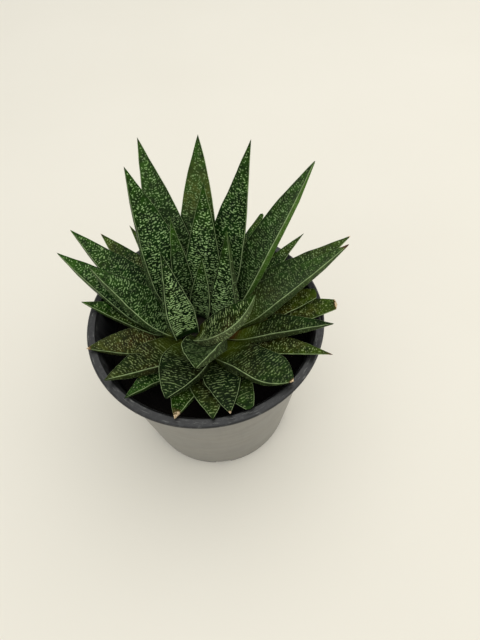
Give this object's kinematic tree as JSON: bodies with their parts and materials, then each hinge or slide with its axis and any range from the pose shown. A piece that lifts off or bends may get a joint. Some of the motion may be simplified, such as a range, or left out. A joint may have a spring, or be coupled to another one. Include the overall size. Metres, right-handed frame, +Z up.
{
  "type": "potted gasteria",
  "caption": "Rosette of thick, pointed, warty dark-green leaves growing from a short stem in peat, in a round black plastic nursery pot with a rolled lip.",
  "frame": {"origin": "middle of the pot's foot, on the surface it stands on", "axes": "+Z up along the pot's axis; -Y towards the viewer of the picture, +X to the viewer's right"},
  "size_m": [0.1605, 0.1327, 0.1794],
  "materials": {
    "pot_plastic": "black moulded plastic, satin, slightly dusty",
    "soil_peat": "dark moist peat, rough",
    "stem_skin": "pale brown-green stem",
    "leaf_01_skin": "fleshy leaf, dark green with pale raised warts, satin",
    "leaf_02_skin": "fleshy leaf, dark green with pale raised warts, satin",
    "leaf_03_skin": "fleshy leaf, dark green with pale raised warts, satin",
    "leaf_04_skin": "fleshy leaf, dark green with pale raised warts, satin",
    "leaf_05_skin": "fleshy leaf, dark green with pale raised warts, satin",
    "leaf_06_skin": "fleshy leaf, dark green with pale raised warts, satin",
    "leaf_07_skin": "fleshy leaf, dark green with pale raised warts, satin",
    "leaf_08_skin": "fleshy leaf, dark green with pale raised warts, satin",
    "leaf_09_skin": "fleshy leaf, dark green with pale raised warts, satin",
    "leaf_10_skin": "fleshy leaf, dark green with pale raised warts, satin",
    "leaf_11_skin": "fleshy leaf, dark green with pale raised warts, satin",
    "leaf_12_skin": "fleshy leaf, dark green with pale raised warts, satin",
    "leaf_13_skin": "fleshy leaf, dark green with pale raised warts, satin",
    "leaf_14_skin": "fleshy leaf, dark green with pale raised warts, satin",
    "leaf_15_skin": "fleshy leaf, dark green with pale raised warts, satin",
    "leaf_16_skin": "fleshy leaf, dark green with pale raised warts, satin",
    "leaf_17_skin": "fleshy leaf, dark green with pale raised warts, satin",
    "leaf_18_skin": "fleshy leaf, dark green with pale raised warts, satin",
    "leaf_19_skin": "fleshy leaf, dark green with pale raised warts, satin",
    "leaf_20_skin": "fleshy leaf, dark green with pale raised warts, satin",
    "leaf_21_skin": "fleshy leaf, dark green with pale raised warts, satin",
    "leaf_22_skin": "fleshy leaf, dark green with pale raised warts, satin",
    "leaf_23_skin": "fleshy leaf, dark green with pale raised warts, satin",
    "leaf_24_skin": "fleshy leaf, dark green with pale raised warts, satin",
    "leaf_25_skin": "fleshy leaf, dark green with pale raised warts, satin",
    "leaf_26_skin": "fleshy leaf, dark green with pale raised warts, satin",
    "leaf_27_skin": "fleshy leaf, dark green with pale raised warts, satin",
    "leaf_28_skin": "fleshy leaf, dark green with pale raised warts, satin",
    "leaf_29_skin": "fleshy leaf, dark green with pale raised warts, satin",
    "leaf_30_skin": "fleshy leaf, dark green with pale raised warts, satin",
    "leaf_31_skin": "fleshy leaf, dark green with pale raised warts, satin",
    "leaf_32_skin": "fleshy leaf, dark green with pale raised warts, satin",
    "leaf_33_skin": "fleshy leaf, dark green with pale raised warts, satin",
    "leaf_34_skin": "fleshy leaf, dark green with pale raised warts, satin",
    "leaf_35_skin": "fleshy leaf, dark green with pale raised warts, satin",
    "leaf_36_skin": "fleshy leaf, dark green with pale raised warts, satin",
    "leaf_37_skin": "fleshy leaf, dark green with pale raised warts, satin"
  },
  "bodies": {
    "root": {"pot": "pot_plastic", "soil": "soil_peat", "stem": "stem_skin", "leaf_01": "leaf_01_skin", "leaf_02": "leaf_02_skin", "leaf_03": "leaf_03_skin", "leaf_04": "leaf_04_skin", "leaf_05": "leaf_05_skin", "leaf_06": "leaf_06_skin", "leaf_07": "leaf_07_skin", "leaf_08": "leaf_08_skin", "leaf_09": "leaf_09_skin", "leaf_10": "leaf_10_skin", "leaf_11": "leaf_11_skin", "leaf_12": "leaf_12_skin", "leaf_13": "leaf_13_skin", "leaf_14": "leaf_14_skin", "leaf_15": "leaf_15_skin", "leaf_16": "leaf_16_skin", "leaf_17": "leaf_17_skin", "leaf_18": "leaf_18_skin", "leaf_19": "leaf_19_skin", "leaf_20": "leaf_20_skin", "leaf_21": "leaf_21_skin", "leaf_22": "leaf_22_skin", "leaf_23": "leaf_23_skin", "leaf_24": "leaf_24_skin", "leaf_25": "leaf_25_skin", "leaf_26": "leaf_26_skin", "leaf_27": "leaf_27_skin", "leaf_28": "leaf_28_skin", "leaf_29": "leaf_29_skin", "leaf_30": "leaf_30_skin", "leaf_31": "leaf_31_skin", "leaf_32": "leaf_32_skin", "leaf_33": "leaf_33_skin", "leaf_34": "leaf_34_skin", "leaf_35": "leaf_35_skin", "leaf_36": "leaf_36_skin", "leaf_37": "leaf_37_skin"}
  },
  "joints": []
}
